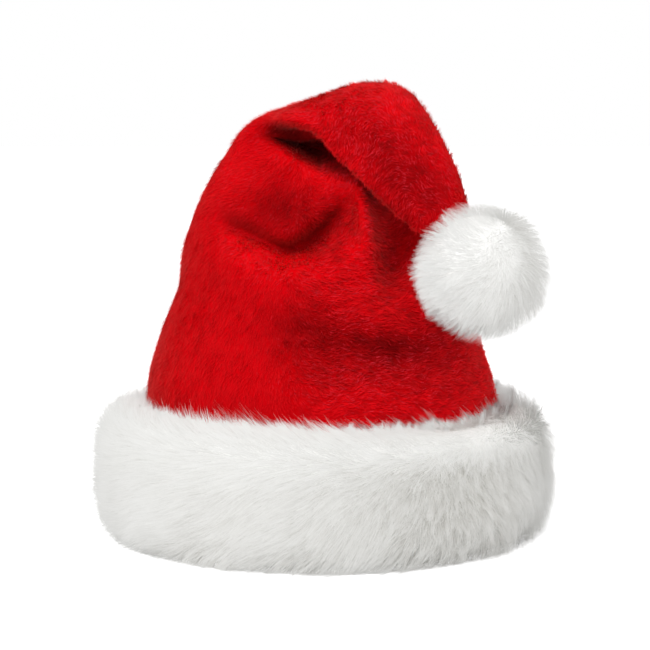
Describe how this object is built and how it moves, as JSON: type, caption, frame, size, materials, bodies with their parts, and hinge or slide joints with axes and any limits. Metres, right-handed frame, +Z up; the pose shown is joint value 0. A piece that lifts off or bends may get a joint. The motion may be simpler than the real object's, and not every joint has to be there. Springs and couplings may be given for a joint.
{
  "type": "santa hat",
  "caption": "Plush costume hat: a hollow soft cone with a deep fur cuff, its top folded over into a tail that ends in a fur pompom.",
  "frame": {"origin": "middle of the cuff's underside, where the hat stands", "axes": "+Z up; -Y towards the viewer, the hat's front; +X to the right, where the tail falls"},
  "size_m": [0.265, 0.265, 0.2554],
  "materials": {
    "red_plush": "short-pile velour plush",
    "white_fur": "long-pile faux fur"
  },
  "bodies": {
    "root": {"crown": "red_plush", "fur_cuff": "white_fur", "pompom": "white_fur"}
  },
  "joints": []
}
